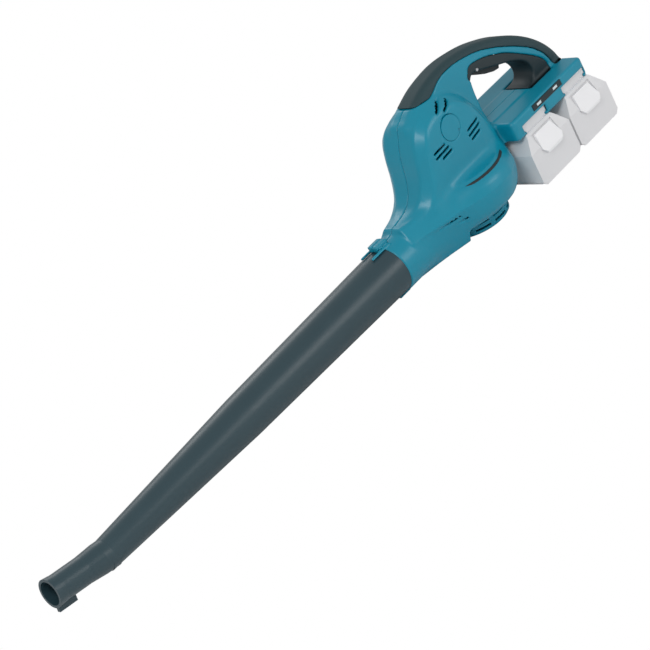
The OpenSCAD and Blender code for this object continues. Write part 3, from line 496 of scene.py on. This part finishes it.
# %% Cuts and fittings of the shell
STEP = 1.5
GAP = 0.22
WALL = 3.5
GRIP_WALL = 3
INSERT_WALL = 2.4
SPIGOT_R = 25.7
SPIGOT_BORE_R = 23.5
THROAT_R = 30.2
COVER_X, COVER_Z, COVER_HOLE_R = -6, 127, 14.8
NECK_HALF_W, RAIL_HALF_W, RAIL_END_Y = 19.6, 23.1, 44
SLOT_R = 1.3
GROOVE_R = 1.5
EAR_HALF_ANGLE = 12
EARS = [(0, 3.4, 4), (180, 1.5, 1.9)]  # angle from the top, height of the lug under it, thickness
FINGER_ANGLE, FINGER_HALF_ANGLE = -16.5, 2.5
ARC = 0.01745  # radians in a degree
SLOTS = [((12, 159), (-12, 149)), ((14, 151), (-2, 145.5)), ((34, 112), (15, 109)), ((34, 106), (14, 102.5)),
         ((31, 99.5), (16, 97)), ((-24, 117), (-43, 116)), ((-20, 111.5), (-43, 110)), ((-18, 106), (-34, 105))]
GROOVES = [((-48, 45, z), (-105, 31, z - 1)) for z in (45, 37, 29)]


def rod(p, a, b):
    """Distance of points p to the line from a to b."""
    a, b = np.array(a, float), np.array(b, float)
    t = np.clip(((p - a) @ (b - a)) / ((b - a) @ (b - a)), 0, 1)
    return np.linalg.norm(p - a - t[:, None] * (b - a), axis=1)


def box(x, y, z, x0, x1, y0, y1, z0, z1):
    """Distance to a box, exact on its faces."""
    return np.maximum.reduce([x0 - x, x - x1, y0 - y, y - y1, z0 - z, z - z1])


def ears(x, y, z):
    """Two hooked ears and the long finger around the outlet, all as sectors about its axis."""
    r, a = np.hypot(y, z - OUTLET_Z), np.degrees(np.arctan2(y, z - OUTLET_Z))
    out = np.full_like(x, 99.0)
    for middle, lug, thick in EARS:
        side = np.abs(np.abs(a) - middle) - EAR_HALF_ANGLE
        ring = np.maximum.reduce([-151 - x, x + 133, 29 - r, r - (29.1 + lug + thick)])
        pocket = np.maximum.reduce([-148.6 - x, x + 141.7, r - (29.2 + lug)])
        mouth = np.maximum(x + 141.7, r - 29.2)
        hook = np.maximum(np.maximum(ring, -pocket), -mouth)
        out = np.minimum(out, np.maximum(hook, side * r * ARC))
    edge = (np.abs(a - FINGER_ANGLE) - FINGER_HALF_ANGLE) * r * ARC
    finger = np.maximum.reduce([-164 - x, x + 133, 29.25 - r, r - 31.8, edge])
    return np.minimum(out, finger)


def hollow_shell(p):
    """The body as a wall, with the spigot and ears added and its openings cut."""
    x, y, z = p.T
    form = body(p)
    f = np.maximum(form, -(form + WALL))
    pipe = np.hypot(y, z - OUTLET_Z)
    f = np.minimum(f, np.maximum.reduce([-180 - x, x + 140, pipe - SPIGOT_R]))
    f = np.minimum(f, ears(x, y, z))
    f = np.maximum(f, -np.maximum(pipe - SPIGOT_BORE_R, x + 132))
    f = np.maximum(f, -np.maximum(np.hypot(x, y) - THROAT_R, z - 24))
    for low, high in (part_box("front_pack_lower_case"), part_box("rear_pack_lower_case")):
        mid = (low.x + high.x) / 2 / MM
        f = np.maximum(f, -box(x, y, z, mid - NECK_HALF_W, mid + NECK_HALF_W, -60, RAIL_END_Y, 55, 64))
        f = np.maximum(f, -box(x, y, z, mid - RAIL_HALF_W, mid + RAIL_HALF_W, -60, RAIL_END_Y, 63, 72))
    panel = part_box("indicator_panel")
    f = np.maximum(f, -box(x, y, z, panel[0].x / MM - .2, panel[1].x / MM + .2, -60, -48.6,
                           panel[0].z / MM - .2, panel[1].z / MM + .2))
    f = np.maximum(f, -np.maximum(np.hypot(x - COVER_X, z - COVER_Z) - COVER_HOLE_R, 30 - np.abs(y)))
    side = np.stack([x, z], 1)
    for a, b in SLOTS:
        f = np.maximum(f, SLOT_R - np.maximum(rod(side, a, b), 20 + SLOT_R - np.abs(y)))
    mirrored = np.stack([x, np.abs(y), z], 1)
    for a, b in GROOVES:
        f = np.maximum(f, GROOVE_R - rod(mirrored, a, b))
    return f


# %% Four mouldings from one field
def grip_region(x, y, z):
    return np.maximum(grip_line(x, z), np.abs(y) - 22)


def liner_region(x, y, z):
    return np.maximum(liner_line(x, z), np.abs(y) - 22)


def trigger_slot(x, y, z):
    return box(x, y, z, 76, 128, -7.9, 7.9, 119, 153)


def shell_field(p):
    x, y, z = p.T
    f = np.maximum(hollow_shell(p), GAP - grip_region(x, y, z))
    f = np.maximum(f, GAP - liner_region(x, y, z))
    return np.maximum(f, y + GAP / 2)


def grip_field(p):
    x, y, z = p.T
    form = body(p) - 0.35
    f = np.maximum(np.maximum(form, -(form + GRIP_WALL)), grip_region(x, y, z) + GAP)
    f = np.maximum(f, GAP - liner_region(x, y, z))
    return np.maximum(f, -trigger_slot(x, y, z))


def liner_field(p):
    x, y, z = p.T
    form = body(p) + 0.6
    f = np.maximum(np.maximum(form, -(form + INSERT_WALL)), liner_region(x, y, z) + GAP)
    return np.maximum(f, -trigger_slot(x, y, z))


shell_left = field_piece("shell_left", shell_field, (-183, -71, -1), (211, 1.8, 182), STEP, teal_nylon)
mirror = [(x / MM, -y / MM, z / MM) for x, y, z in (v.co for v in shell_left.data.vertices)]
turned_faces = [tuple(f.vertices)[::-1] for f in shell_left.data.polygons]
shell_right = mesh_piece("shell_right", mirror, turned_faces, teal_nylon)
grip = field_piece("grip_skin", grip_field, (-62, -20, 60), (213, 20, 183), 1.5, grip_rubber)
liner = field_piece("hand_insert", liner_field, (60, -19, 74), (190, 19, 162), 1.2, insert_nylon)
for piece, node, slot in ((shell_left, "housing_left", "teal_shell"),
                          (shell_right, "housing_right", "teal_shell"), (grip, "top_grip", "soft_grip"),
                          (liner, "inner_grip", "dark_insert")):
    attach(piece, "housing")
    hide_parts(node)

# %% [markdown]
# ## Nozzle, packs, grille and controls
# These keep the shapes they have in the frame, and take the finish of their moulding.

# %% Finishes for the remaining pieces
for names, material in ((("long_nozzle",), nozzle_plastic), (("intake_grille",), teal_nylon),
                        (("trigger",), dark_moulding),
                        (("front_pack_lower_case", "rear_pack_lower_case", "front_pack_upper_case",
                          "rear_pack_upper_case"), pack_nylon),
                        (("front_pack_button", "rear_pack_button"), button_plastic)):
    for name in names:
        dress(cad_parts[name], material)
